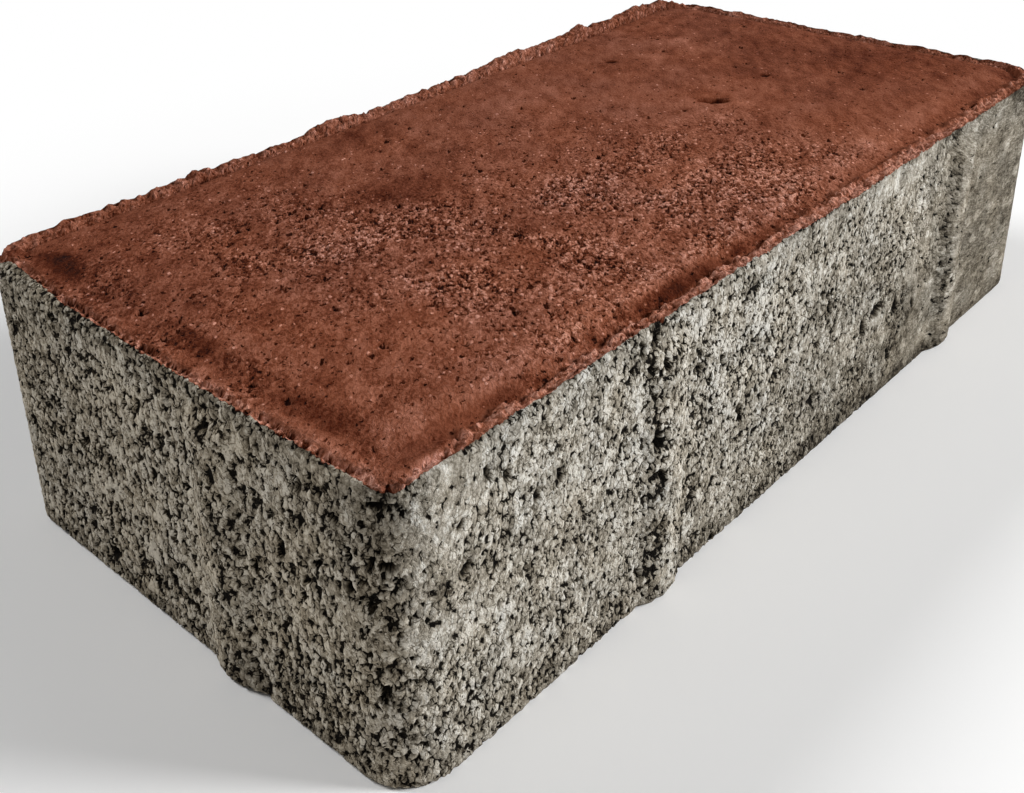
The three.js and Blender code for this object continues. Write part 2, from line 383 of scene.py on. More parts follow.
def top_height(x, y):
    """Height of the top at each point: ragged lip, gutter, chamfer, and an almost flat walking face."""
    place = np.stack([x, y], 1)
    inset = top_inset(x, y)
    west, east, south, north = side_shares(x, y)
    hidden = north + east
    soft = west + south * ease(-82, -92, x)
    ragged = noises(place, (0.55, 7, 1), (0.45, 2.1, 2))
    scallop = 0.6 * lattice_noise(place, 2, 8)
    foot = LIP_WIDTH + LIP_LEAN + south * (0.55 + 0.6 * ragged + scallop) - HIDDEN_NARROW * hidden
    foot = foot + soft * SOFT_SPREAD
    run = WALL_RUN + soft * SOFT_RUN
    depth = GUTTER_DEPTH - HIDDEN_SHALLOW * hidden - 0.45 * soft
    groove = hidden * ease(0.9, 0.2, np.abs(inset - foot - 0.35))
    floor = CREST - depth - HIDDEN_GROOVE * groove + 0.2 * lattice_noise(place, 5, 5) * (south + west)
    face = CREST - FACE_DROP + noises(place, (0.1, 22, 6), (0.05, 7, 7))
    inside = floor + (face - floor) * ease(CHAMFER_START - 0.8, FACE_INSET + 1.2, inset)
    height = inside + (lip_crest(x, y, inset, soft) - inside) * ease(foot, foot - run, inset)
    shoulder = EDGE_RADIUS + bare_width(x, y)
    bent = 1 - np.sqrt(1 - np.clip(1 - inset / shoulder, 0, 1) ** 2)
    return height - (LIP_ARRIS + EDGE_FALL * (shoulder - EDGE_RADIUS)) * bent


def nib_bulge(x, y, z):
    """How far the nibs carry each point of the side outwards."""
    bulge = np.zeros_like(x)
    on_long = HALF_WIDTH - np.abs(y) < 1
    for half_turn in (1, -1):
        nibs = [(along, x, on_long & (np.sign(y) == -half_turn)) for along in LONG_SIDE_NIBS]
        nibs += [(along, y, ~on_long & (np.sign(x) == half_turn)) for along in SHORT_SIDE_NIBS]
        for along, across, near in nibs:
            off = across - half_turn * along
            arc = np.sqrt(np.maximum(NIB_RADIUS ** 2 - off ** 2, 0)) - (NIB_RADIUS - NIB_PROUD)
            bulge = np.maximum(bulge, np.where(near, arc, 0))
    return np.minimum(bulge, np.clip((NIB_TOP - z) / NIB_LEAD, 0, 1) * NIB_PROUD)


def filled_disc(ring, step):
    """Points on a shaken grid inside a ring, and triangles over the ring's points and these."""
    span = ring.max(0)
    grid = np.stack(np.meshgrid(*(np.arange(-s + step, s, step) for s in span)), -1).reshape(-1, 2)
    shake = np.stack([lattice_noise(grid, step * 1.3, seed) for seed in (31, 32)], 1)
    grid = grid + shake * step * 0.25
    grid = grid[top_inset(*grid.T) > top_inset(*ring.T).mean() + step * 0.7]
    border = [(i, (i + 1) % len(ring)) for i in range(len(ring))]
    found = delaunay_2d_cdt([Vector(p) for p in (*ring, *grid)], border, [], 1, 1e-5)
    assert len(found[0]) == len(ring) + len(grid)
    return grid, np.array([face for face in found[2] if len(face) == 3])


def skin_rings():
    """The rings from the underside to the face: distance in, height or None on the top, quarter turns up."""
    rings = [(BOTTOM_ARRIS, 0.0, -1), (BOTTOM_ARRIS * 0.3, BOTTOM_ARRIS * 0.3, -0.5)]
    rings += [(0.0, z, 0) for z in np.linspace(BOTTOM_ARRIS, SIDE_TOP, int(SIDE_TOP / STEP))]
    rings += [(0.15, None, 0.5)] + [(inset, None, 1) for inset in np.arange(0.4, FACE_INSET, STEP * 0.9)]
    return rings + [(FACE_INSET, None, 1)]


def ring_points(counts, edge, inset, z, tilt):
    """One ring of the skin: places, outward directions, and distance in past the rim (negative below it)."""
    flat, normal = outline_ring(inset, counts)
    height = top_height(*flat.T) if z is None else np.full(len(flat), z)
    if z is not None:
        height += (edge - SIDE_TOP) * ease(0.7 * SIDE_TOP, SIDE_TOP, z)
    angle = tilt * math.pi / 2
    up = np.full(len(flat), math.sin(angle))
    rim = np.full(len(flat), inset) if z is None else height - edge
    return np.column_stack([flat, height]), np.column_stack([normal * math.cos(angle), up]), rim


def end_points(ring, first, made, up):
    """Fills the ring whose points start at first: the same three for the points inside it, and triangles."""
    grid, disc = filled_disc(ring, STEP if up > 0 else BOTTOM_STEP)
    index = np.concatenate([first + np.arange(len(ring)), made + np.arange(len(grid))])
    height = top_height(*grid.T) if up > 0 else np.zeros(len(grid))
    outward = np.tile((0.0, 0.0, float(up)), (len(grid), 1))
    rim = top_inset(*grid.T) if up > 0 else np.full(len(grid), -SIDE_TOP)
    return (np.column_stack([grid, height]), outward, rim), index[disc][:, ::up]


def push_out_nibs(places):
    """Moves the points of the sides outwards where there is a nib."""
    x, y, z = places.T
    side = rounded_inset(x, y, CORNER_RADIUS) < BOTTOM_ARRIS + 0.01
    bulge = np.where(side, nib_bulge(x, y, z), 0)
    on_long = HALF_WIDTH - np.abs(y) < 1
    places[:, 0] += np.where(on_long, 0, np.sign(x) * bulge)
    places[:, 1] += np.where(on_long, np.sign(y) * bulge, 0)


def build_form():
    """The smooth stone: places in mm, outward directions, distance in past the rim, and triangles."""
    counts = [int(2 * (half - CORNER_RADIUS) / STEP) for half in (HALF_LENGTH, HALF_WIDTH)]
    counts.append(int(CORNER_RADIUS * math.pi / 2 / STEP))
    edge = top_height(*outline_ring(0.0, counts)[0].T)
    parts = [ring_points(counts, edge, *ring) for ring in skin_rings()]
    count = len(edge)
    here = np.arange(count)
    after = (here + 1) % count
    last = (len(parts) - 1) * count
    faces = []
    for band in range(0, last, count):
        faces.append(np.stack([here, after, after + count], 1) + band)
        faces.append(np.stack([here, after + count, here + count], 1) + band)
    for first, ring, up in ((last, parts[-1], 1), (0, parts[0], -1)):
        made = sum(len(part[0]) for part in parts)
        part, disc = end_points(ring[0][:, :2], first, made, up)
        parts.append(part)
        faces.append(disc)
    places, outwards, rims = (np.concatenate(fields) for fields in zip(*parts))
    x, y = places[:, 0], places[:, 1]
    rims = rims + CORNER_DROP * corner_turn(x, y) * ease(FACE_INSET, 3, rims) - bare_width(x, y)
    push_out_nibs(places)
    return places, outwards, rims, np.concatenate(faces)


def hand_placed(rows, tables):
    """The rows and those of the tables, whose vectors get the axis that they leave out."""
    yield from rows
    for axis, fills, short_rows in tables:
        for *row, last in short_rows:
            pairs = zip(row[::2], row[1::2])
            yield *(np.array((*p[:axis], fill, *p[axis:]), float) for p, fill in zip(pairs, fills)), last


def patch_tone(place):
    """Change of lightness that the listed patches make, with ragged outlines."""
    wobble = 0.45 * layered(place, 5, 64)
    tone = np.zeros(len(place))
    for centre, reach, change in hand_placed(PATCHES, FACE_PATCHES):
        near = np.flatnonzero(np.all(np.abs(place - centre) < PATCH_LIMIT * np.array(reach), 1))
        away = np.linalg.norm((place[near] - centre) / reach, axis=1) + wobble[near]
        tone[near] += change / 100 * ease(*PATCH_EDGE, away)
    return tone


def crease_mask(x, y, z):
    """1 in the band beside each nib, on the side of it that the mould tore."""
    mask = np.zeros_like(x)
    wobble = noises(np.stack([x, y, z], 1), (0.8, 9, 61), (0.4, 3, 62))
    for half_turn in (1, -1):
        for along, (shift, reach, strength) in zip(LONG_SIDE_NIBS, CREASES):
            on_side = half_turn * y < 1 - HALF_WIDTH
            off = np.abs(half_turn * x - along + shift + wobble * reach / WIDE_CREASE)
            torn = strength * ease(reach, 0.32 * reach, off)
            mask = np.maximum(mask, np.where(on_side, torn, 0))
        for along in SHORT_SIDE_NIBS:
            shift, reach, strength = SHORT_CREASE
            on_side = half_turn * x > HALF_LENGTH - 1
            off = np.abs(half_turn * y - (along + shift) + 0.6 * wobble)
            mask = np.maximum(mask, np.where(on_side, strength * ease(reach, reach / 3, off), 0))
    return mask


def side_looseness(x, y, z, dense, crease, patch, middle, low):
    """How loosely the grains of the sides were packed: gaps open where it is high."""
    west = ease(-94, -97, x)
    return total(
        (layered(np.stack([x, y, z], 1), 8, 71), 0.07), (dense, -0.1), (crease, 0.07),
        (patch * ease(62, 44, x), -0.8), (middle, 0.04), (low * ease(-10, 5, x), -0.06),
        (ease(24, 40, x), -0.08), (ease(50, 64, x), -0.14), (west * ease(-25, -5, y), 0.04),
        (west * dense, 0.05), (west * window(y, -32, -22, 20, 30), 0.02),
    )


def side_mood(x, y, z, rim):
    """Slow changes over bare concrete: lightness, looseness and warmth."""
    place = np.stack([x, y, z], 1)
    patch = patch_tone(place)
    crease = crease_mask(x, y, z)
    # What lies round the upright corners, the dense top of the sides, and the -X side.
    corner = ease(24, 8, np.hypot(HALF_LENGTH - np.abs(x), HALF_WIDTH - np.abs(y)))
    dense = ease(42.5 - 7 * corner, 47.5 - 5 * corner, z)
    west = ease(6 - HALF_LENGTH, 1 - HALF_LENGTH, x)
    # Parts of the long side: left of its middle, and three that get painted shade: low down, an oval, its
    # foot.
    middle = window(x, -60, -50, -14, 0)
    low = window(x, -48, 25, 40, 62) * ease(32 + 0.15 * x, 9, z)
    low_oval_shade = ease(1.4, 0.2, np.hypot((x - 39) / 9, (z - 13) / 13)) * (y < 0)
    foot = window(x, -6, 6, 48, 56) * ease(7, 2, z) * (y < 0)
    tone = total(
        (layered(place, 11, 72), 0.04), (dense, -0.04), (crease, -0.07), (patch, PATCH_SHARE),
        # Painted shade: darker low down, at the bottom few mm, in the oval and along the foot.
        (ease(48, 66, x), -0.27), (ease(76, 92, x), -0.03), (low, -0.12), (ease(6, 1.5, z), -0.13),
        # The term with rim next is painted shade on the rounded shoulder just under the pigment's edge.
        (ease(-1.5, -0.2, rim), -0.1), (low_oval_shade, -0.16), (window(x, 40, 47, 53, 59), -0.14),
        (ease(-4, 8, x) * ease(36, 28, z), -0.04), (foot * (0.17 + 0.08 * ease(20, 32, x)), -1),
        (middle * ease(24, 32, z), 0.08), (west * ease(-15, 5, y), 0.04), (west, 0.05),
        (west * dense, -0.06), (corner * (x < 0) * ease(24, 34, z), -0.09),
    )
    warmth = total((layered(place, 5, 73, 3), 0.22), (dense, -0.12), (west, 0.55))
    return np.stack([tone, side_looseness(x, y, z, dense, crease, patch, middle, low), warmth], 1)


def top_wear(x, y, rim, patch):
    """How far the pigment has worn to open grains: most toward -X and -Y, but not at the edge."""
    place = np.stack([x, y], 1)
    west = side_shares(x, y)[0]
    lean = 4 - 0.42 * x - 0.018 * np.maximum(x, 0) ** 2 - y + 8 * layered(place, 16, 85)
    broad = total((ease(-10, 24, lean), 0.62), (ease(-36, 4, lean), 0.38))
    broad *= 1 - 0.45 * ease(1.35, 0.6, np.hypot((x + 80) / 17, (y + 32) / 15))
    broad *= 1 - 0.4 * ease(8, 4, rim) * (1 - west)
    broad *= 1 - 0.55 * ease(-64, -80, x)
    broad *= 1 - 0.25 * ease(0, 30, x)
    wear = broad * (0.45 + 0.55 * ease(-0.5, 0.9, layered(place, 9, 81, 3)))
    return wear * (1 - np.clip(-5.5 * patch, -0.25, 0.75))


def top_mood(x, y, rim):
    """Slow changes over the pigmented top: lightness, wear and warmth."""
    place = np.stack([x, y], 1)
    west, east, south, north = side_shares(x, y)
    patch = patch_tone(np.column_stack([x, y, np.full(len(x), CREST)]))
    patchy = layered(place, 9, 82, 3)
    # The gutter of the -Y side, the foot of the -X side's soft lip, and a strip of painted light along the -Y
    # side.
    # The gutter's darkening is partly stain and partly painted shade that the lip casts into it.
    gutter_stain_and_shade = window(rim, 2.1, 2.8, 4.2, 6.8) * south * np.interp(x, *np.transpose(GUTTER_STAIN_AND_SHADE))
    band = west * window(rim, 2.8, 4.6, 7.4, 9.6)
    # Painted light: the strip is lighter, as a slope that faces the key lamp would be.
    painted_light_strip = window(y, -42.5, -41, -38, -36) * window(x, -94, -86, 88, 94)
    tone = 0.01 + total(
        (layered(place, 11, 83), 0.035), (layered(place, 4.5, 86), 0.04), (patch, 1),
        (gutter_stain_and_shade * (0.55 + 0.7 * ease(-0.25, 0.3, patchy)), -1),
        (band * (0.07 + 0.05 * ease(-0.2, 0.45, patchy)), -1),
        # The terms with ease(3.2, 2.6, rim) below are painted shade in the groove at the foot of the +Y and
        # +X lips.
        (west * window(rim, 0.5, 1.2, 2.8, 4.2), 0.04), (north * ease(3.2, 2.6, rim), -0.1),
        (east * ease(3.2, 2.6, rim), -0.05), ((north + east) * ease(0.9, 0.1, rim), -0.12),
        # The first term of the next line darkens the foot of the -Y lip toward -X: stain and painted shade,
        # like the gutter.
        (south * ease(-58, -72, x) * ease(3.3, 2.5, rim), -0.09), (ease(25, 62, x), -0.1),
        (ease(-5, -50, x) * ease(-10, 25, y), -0.06), (ease(-62, -86, x) * ease(-32, -10, y), -0.04),
        (ease(-50, -70, x) * layered(place, 4, 87, 3), 0.05), (ease(75, 50, x) * ease(-5, -30, y), 0.04),
        (ease(75, 50, x) * painted_light_strip, 0.1), (ease(50, 62, x) * painted_light_strip, 0.12),
        (ease(50, 62, x) * south * ease(2.8, 2.2, rim), 0.1),
    )
    wear = np.clip((top_wear(x, y, rim, patch) + 0.08 * band) * (1 - 2.5 * gutter_stain_and_shade), 0, 1)
    warmth = total((layered(place, 10, 84, 3), 0.3), (ease(25, -25, y), 0.25))
    return np.stack([tone, wear, warmth], 1)


def lip_crumbs(x, y, rim):
    """How crumbly the edge of the top is: 1 on the lip, only a thin fringe where the lip is soft."""
    west, _, south, _ = side_shares(x, y)
    soft = west + south * ease(-80, -92, x)
    reach = 2.75 - 1.65 * soft
    return ease(reach + 0.5, reach - 0.4, rim)


def carve_voids(places, outwards, mood):
    """Sinks each listed void into the surface, and darkens it."""
    for centre, along, across, depth in hand_placed(VOIDS, SIDE_VOIDS):
        near = np.flatnonzero(np.abs(places - centre).max(1) < VOID_REACH)
        off = places[near] - centre
        a, b = np.array(along), np.array(across)
        ragged = 0.35 * lattice_noise(places[near], 0.9, 91)
        inside = ease(*VOID_EDGE, np.hypot(off @ a / (a @ a), off @ b / (b @ b)) + ragged)
        places[near] -= outwards[near] * (inside * depth)[:, None]
        # The void's colour is darkened as well as sunk: painted shade.
        mood[near, 0] -= inside * np.where(outwards[near, 2] > 0.5, TOP_VOID_SHADE, SIDE_VOID_SHADE)


# --- Texture nodes that serve geometry and material alike ---

class Nodes:
    """Adds nodes to a tree, which it empties first. A value may be a socket, a number or a tuple."""

    def __init__(self, tree):
        self.tree = tree
        tree.nodes.clear()

    def add(self, kind, *values, named=None, **settings):
        """A node with values on its first inputs and on the named ones, and with settings of its own."""
        node = self.tree.nodes.new(kind)
        for name, value in settings.items():
            setattr(node, name, value)
        by_name = [(node.inputs[name], value) for name, value in (named or {}).items()]
        for socket, value in (*zip(node.inputs, values), *by_name):
            if isinstance(value, bpy.types.NodeSocket):
                self.tree.links.new(value, socket)
            else:
                socket.default_value = value
        return node

    def math(self, operation, *values):
        return self.add("ShaderNodeMath", *values, operation=operation).outputs[0]

    def vector(self, operation, *values, output="Vector", **named):
        node = self.add("ShaderNodeVectorMath", *values, named=named, operation=operation)
        return node.outputs[output]

    def scaled(self, vector, factor):
        return self.vector("SCALE", vector, Scale=factor)

    def total(self, *terms):
        """Sum of terms, each a socket, a (socket, factor) pair or, in the last place, a number."""
        result = 0.0
        for term in terms:
            socket, factor = term if isinstance(term, tuple) else (term, 1.0)
            if isinstance(socket, bpy.types.NodeSocket):
                result = self.math("MULTIPLY_ADD", socket, factor, result)
            else:
                result = self.math("ADD", result, socket)
        return result

    def product(self, first, *others):
        for other in others:
            first = self.math("MULTIPLY", first, other)
        return first

    def step(self, value, start, end, low=0.0, high=1.0):
        """low up to start, high past end, and a smooth rise between them."""
        named = {"Value": value, "From Min": start, "From Max": end, "To Min": low, "To Max": high}
        return self.add("ShaderNodeMapRange", named=named, interpolation_type="SMOOTHSTEP").outputs[0]

    def split(self, vector):
        return self.add("ShaderNodeSeparateXYZ", vector).outputs

    def noise(self, place, size, detail=1.0, roughness=0.5, output="Fac"):
        """A noise from about 0 to 1; its output "Color" is three noises in one vector."""
        named = {"Vector": place, "Scale": 1 / size, "Detail": detail, "Roughness": roughness}
        return self.add("ShaderNodeTexNoise", named=named).outputs[output]

    def ripple(self, place, size, detail=1.0, roughness=0.5):
        """A noise that is 0 on average."""
        return self.total(self.noise(place, size, detail, roughness), -0.5)

    def vein(self, place, size):
        """0 along winding lines, and more away from them."""
        return self.math("ABSOLUTE", self.ripple(place, size))

    def cells(self, place, size):
        """Distance from the middle of the nearest cell, and three random numbers of that cell."""
        outputs = self.add("ShaderNodeTexVoronoi", named={"Vector": place, "Scale": 1 / size}).outputs
        return outputs["Distance"], self.split(outputs["Color"])

    def holes(self, place, size, ragged, spread, edge, odds, few):
        """1 in ragged holes, at most one to a cell of this size.

        The term ragged shakes their outline, spread makes their sizes differ, and edge is where they start
        and are full. A cell has one if a random number, with the terms odds added, is past the step few.
        """
        away, random = self.cells(place, size)
        inside = self.step(self.total(away, ragged, (random[0], -spread)), *edge)
        return self.product(inside, self.step(self.total(random[1], *odds), *few))

    def sway(self, place, size, amount):
        """The place pushed about by a noise of this size, up to about half of amount each way."""
        push = self.vector("SUBTRACT", self.noise(place, size, output="Color"), (0.5, 0.5, 0.5))
        return self.vector("MULTIPLY_ADD", push, (amount,) * 3, place)

    def drawn_out(self, place, direction, factor):
        """The place squeezed along a unit direction, which draws a texture out along it by the factor."""
        along = self.vector("DOT_PRODUCT", place, direction, output="Value")
        return self.vector("ADD", place, self.scaled(direction, self.math("MULTIPLY", along, 1 / factor - 1)))

    def mix(self, factor, low, high):
        return self.total((self.math("SUBTRACT", high, low), factor), low)


# --- Bare concrete and pigment, with sizes in mm ---

DUST = 0.44
GRAIN, SLAB, PIT, VOID = 0.74, 1.9, 1.05, 3.3  # cells of bare concrete
FACE_GRAIN, FACE_PIT, LUMP = 0.58, 1.4, 1.5  # cells of the pigmented face
UPRIGHT = (1, 1, 0.58)  # draws the sides' grains out in height
UPRIGHT_SLAB = (1, 1, 0.45)
WIDER_PAST = (30, 52)  # places along X past which the sides' grains get wider
DIAGONAL = (math.sqrt(0.5), math.sqrt(0.5), 0)  # the grains of the face lie drawn out along this


def wide_grains(n, place):
    """The place, squeezed along X past WIDER_PAST and stretched along Z, which makes grains wide and low."""
    x, _, z = n.split(place)
    past = n.total(*(n.math("MAXIMUM", n.total(x, -start), 0.0) for start in WIDER_PAST))
    lower = n.product(z, n.step(x, 30, 75), 0.45)
    shift = n.add("ShaderNodeCombineXYZ", n.product(past, -0.26), 0.0, lower).outputs[0]
    return n.vector("ADD", place, shift)


def concrete(n, place, mood):
    """Bare concrete: upright grains, wider past X 30 mm, with gaps, pits, voids and cracks.

    Gives coarse and fine relief in mm, lightness, and warmth.
    """
    tone, loose, warmth = n.split(mood)
    place = wide_grains(n, place)
    upright = n.vector("MULTIPLY", n.sway(place, 0.9, 0.9), UPRIGHT)
    dust = n.ripple(place, DUST, 2.0, 0.7)
    ragged = n.noise(place, 0.55)
    blotch = n.noise(upright, 1.9)
    rough = n.step(loose, -0.3, 0.1, 0.52, 1.12)
    # Grains with hollows between them, some paler than others, and pale slabs that have few gaps.
    away, kind = n.cells(upright, GRAIN)
    spread = n.total(away, loose, (dust, 0.5))
    # The hollows between grains are darkened as painted shade.
    shaded_hollow = n.product(n.step(spread, 0.25, 0.68), rough)
    speck = n.total((kind[0], 0.26), (n.step(kind[1], 0.86, 0.9), 0.17), -0.13)
    slab, kind = n.cells(n.vector("MULTIPLY", n.sway(place, 1.6, 1.2), UPRIGHT_SLAB), SLAB)
    slab = n.product(n.step(slab, 0.5, 0.38), n.step(kind[0], 0.7, 0.76))
    # Openings, of which there are more where the grains lie loose, darkened as painted shade in them.
    gap = n.product(n.step(spread, 0.66, 0.76), n.total((slab, -0.8), 1.0))
    pit = n.holes(n.vector("ADD", upright, (37, 11, 5)), PIT, (ragged, 0.5), 0.28, (0.35, 0.24),
                  odds=((loose, 1.2),), few=(0.5, 0.58))
    void = n.holes(n.vector("ADD", upright, (11, 53, 17)), VOID, (ragged, 0.45), 0.26, (0.3, 0.22),
                   odds=((loose, 2.0),), few=(0.68, 0.72))
    shaded_opening = n.math("MAXIMUM", n.math("MAXIMUM", gap, pit), void)
    # Cracks, darkened as painted shade in them.
    crack = n.step(n.vein(upright, 1.1), 0.04, 0.008)
    crack = n.product(crack, n.step(away, 0.15, 0.45), n.step(loose, -0.16, -0.04))
    coarse_relief = n.total((gap, -0.3), (pit, -0.5), (shaded_hollow, -0.1), (void, -1.0))
    fine_relief = n.total((dust, -0.3), (crack, -0.14))
    light = n.total(tone, (dust, 1.0), n.product(n.total(speck, (blotch, 0.7), -0.35), rough),
                    (shaded_opening, -0.8), (shaded_hollow, -0.13), (crack, -0.36), (slab, 0.17), 0.795)
    return coarse_relief, fine_relief, light, warmth


def pigment(n, place, rim, mood, crumbs):
    """Pigmented face: fine grains with short gaps where it is worn, crumbly on the lip.

    Gives the same four results as concrete().
    """
    tone, wear, warmth = n.split(mood)
    x, y, _ = n.split(place)
    bent = n.sway(n.drawn_out(place, DIAGONAL, 1.6), 0.6, 0.4)
    grit = n.ripple(bent, DUST, 2.0, 0.62)
    smear = n.ripple(n.drawn_out(place, DIAGONAL, 2.2), 2.6, 2.0, 0.6)
    # Gaps, arcs, dots and pits, of which wear opens more, all darkened as painted shade, and pale flecks.
    away, kind = n.cells(bent, FACE_GRAIN)
    gap = n.product(n.step(n.total(away, (grit, 0.5)), 0.53, 0.62),
                    n.step(n.total(n.noise(place, 1.6), (wear, 0.2)), 0.62, 0.74))
    arc = n.product(n.step(n.vein(n.vector("ADD", bent, (5, 19, 3)), 1.2), 0.085, 0.035),
                    n.step(n.total(n.noise(place, 0.9), (wear, 0.24)), 0.685, 0.735))
    dot = n.product(n.step(away, 0.36, 0.22), n.step(n.total(kind[1], (wear, 0.04)), 0.97, 0.985))
    pit = n.holes(n.vector("ADD", bent, (23, 41, 7)), FACE_PIT, (grit, 0.6), 0.18, (0.24, 0.14),
                  odds=((wear, 0.13), (crumbs, -0.5)), few=(0.95, 0.97))
    fleck = n.product(n.step(n.total(away, (kind[2], -0.25), (grit, 0.4)), 0.32, 0.14),
                      n.step(n.total(kind[1], (wear, -0.17)), 0.03, 0.01))
    # Hollows between the lip's lumps, notches in its edge on -X, a line at its foot on +Y, darkened as
    # painted shade.
    shaded_hollow, shade = n.cells(n.sway(place, 0.9, 0.6), LUMP)
    shaded_hollow = n.product(n.step(shaded_hollow, 0.1, 0.75), crumbs)
    notch = n.step(n.noise(n.vector("MULTIPLY", place, (0.6, 1, 0.6)), 1.1), 0.52, 0.58)
    notch = n.product(notch, n.step(rim, 1.4, 0.8), n.step(x, -95, -96))
    line = n.product(n.step(rim, 2.1, 2.5), n.step(rim, 3.3, 2.8), n.step(y, 38.0, 42.0))
    coarse_relief = n.total((n.product(shaded_hollow, n.step(rim, 0.0, 0.5)), -0.75), (pit, -0.5), (gap, -0.12),
                            (arc, -0.3), (notch, -0.35))
    fine_relief = n.total((n.product(grit, n.total((wear, 0.8), (crumbs, 0.5), 0.35)), 0.8), (fleck, 0.15),
                          (dot, -0.2))
    light = n.total(tone, (n.product(grit, n.total((wear, 0.85), (crumbs, 0.6), 0.34)), 1.2), (smear, 0.55),
                    (n.product(n.total(kind[0], -0.5), n.total((wear, 0.62), 0.06)), 1.0),
                    (gap, -0.13), (arc, -0.38), (pit, -0.38), (dot, -0.3), (fleck, 0.4), (wear, 0.08),
                    (line, -0.14), (notch, -0.52), (crumbs, 0.31), (n.product(crumbs, shade[0]), 0.18),
                    (shaded_hollow, -0.24), 0.52)
    return coarse_relief, fine_relief, light, warmth


VECTORS = ("rest", "mood", "outward")  # the mesh attributes that hold vectors; the others hold numbers


def kind_of(name):
    return "FLOAT_VECTOR" if name in VECTORS else "FLOAT"


def attribute(n, name):
    """A mesh attribute's socket, in geometry nodes or in a material."""
    if n.tree.type == "GEOMETRY":
        node = n.add("GeometryNodeInputNamedAttribute", named={"Name": name}, data_type=kind_of(name))
        return node.outputs[0]
    return n.add("ShaderNodeAttribute", attribute_name=name).outputs["Vector" if name in VECTORS else "Fac"]


def surface(n):
    """The rim with a ragged outline, and the results of concrete() and pigment(), from the attributes."""
    place, mood = attribute(n, "rest"), attribute(n, "mood")
    rim = n.total(attribute(n, "rim"), (n.noise(place, 0.6), 0.5), -0.25)
    return rim, concrete(n, place, mood), pigment(n, place, rim, mood, attribute(n, "crumbs"))


# --- The mesh ---

RELIEF_EDGE = 0.35  # mm to each side of the rim over which one relief passes into the other
COLOUR_EDGE = 0.06  # the same for the colours


def add_object(name, data):
    """A new object in the scene."""
    made = bpy.data.objects.new(name, data)
    bpy.context.scene.collection.objects.link(made)
    return made


def relief_modifier(obj):
    """Geometry nodes that move each point along its outward direction by the surface's relief."""
    tree = bpy.data.node_groups.new("relief", "GeometryNodeTree")
    for way in ("INPUT", "OUTPUT"):
        tree.interface.new_socket("Geometry", in_out=way, socket_type="NodeSocketGeometry")
    n = Nodes(tree)
    given = n.add("NodeGroupInput")
    rim, side, top = surface(n)
    relief = n.mix(n.step(rim, -RELIEF_EDGE, RELIEF_EDGE), n.total(*side[:2]), n.total(*top[:2]))
    depth = n.math("MULTIPLY", n.math("MINIMUM", relief, 0.0), MM)
    shift = n.scaled(attribute(n, "outward"), depth)
    moved = n.add("GeometryNodeSetPosition", given.outputs[0], named={"Offset": shift}).outputs[0]
    n.add("NodeGroupOutput", moved)
    obj.modifiers.new("relief", "NODES").node_group = tree


def add_attribute(mesh, name, values):
    """Stores a number or a vector for each point of the mesh."""
    layer = mesh.attributes.new(name, kind_of(name), "POINT")
    layer.data.foreach_set("vector" if name in VECTORS else "value", values.astype(np.float32).ravel())


def applied(obj):
    """The object's mesh with its modifiers applied, which takes the place of the old one."""
    depsgraph = bpy.context.evaluated_depsgraph_get()
    mesh = bpy.data.meshes.new_from_object(obj.evaluated_get(depsgraph), depsgraph=depsgraph)
    obj.modifiers.clear()
    obj.data = mesh
    return mesh


def build_stone():
    """The stone's mesh: form and voids, relief, and then as many triangles as it may have."""
    places, outwards, rims, faces = build_form()
    rest = places.copy()
    x, y, z = rest.T
    mood = np.where(rims[:, None] > 0, top_mood(x, y, rims), side_mood(x, y, z, rims))
    carve_voids(places, outwards, mood)
    mesh = bpy.data.meshes.new("stone_form")
    mesh.from_pydata((places * MM).tolist(), [], faces.tolist())
    add_attribute(mesh, "rest", rest)
    add_attribute(mesh, "mood", mood)
    add_attribute(mesh, "crumbs", np.where(rims > -1, lip_crumbs(x, y, rims), 0))
    add_attribute(mesh, "outward", outwards)
    add_attribute(mesh, "rim", rims)
    stone = add_object(VISUAL, mesh)
    relief_modifier(stone)
    mesh = applied(stone)
    thin = stone.modifiers.new("thin", "DECIMATE")
    thin.ratio = min(1.0, MOST_TRIANGLES / len(mesh.polygons))
    mesh = applied(stone)
    mesh.name = VISUAL
    mesh.shade_smooth()
    print("STONE", len(faces), "->", len(mesh.polygons), "triangles")
    return stone


# --- Material ---

def colour_ramp(n, factor, stops):
    """A colour ramp; the first two stops take the places of the new ramp's two ends."""
    node = n.add("ShaderNodeValToRGB", factor)
    ramp = node.color_ramp
    for index, (position, colour) in enumerate(stops):
        stop = ramp.elements[index] if index < 2 else ramp.elements.new(position)
        stop.position = position
        stop.color = (*colour, 1)
    return node.outputs[0]


WARM_SHIFT = (0.1, 0.0, -0.15)  # what a warmth of 1 adds to red, green and blue, as a share of each
SHEEN = 0.04  # specular level: dry, dusty concrete
ROUGHNESS = 0.9
# Colours from dark to light, after the first and the last.
CONCRETE_STOPS = (
    (0.0, (0.006, 0.005, 0.004)),
    (1.0, (0.58, 0.55, 0.49)),
    (0.25, (0.055, 0.045, 0.032)),
    (0.50, (0.180, 0.158, 0.123)),
    (0.75, (0.350, 0.318, 0.263)),
)
PIGMENT_STOPS = (
    (0.0, (0.010, 0.002, 0.001)),
    (1.0, (0.56, 0.27, 0.20)),
    (0.25, (0.068, 0.014, 0.005)),
    (0.50, (0.175, 0.054, 0.028)),
    (0.75, (0.300, 0.115, 0.072)),
    (0.90, (0.410, 0.175, 0.122)),
)


def tinted(n, colour, warmth):
    """The colour made warmer or cooler by up to about half of WARM_SHIFT."""
    return n.vector("MULTIPLY", colour, n.vector("ADD", n.scaled(WARM_SHIFT, warmth), (1, 1, 1)))


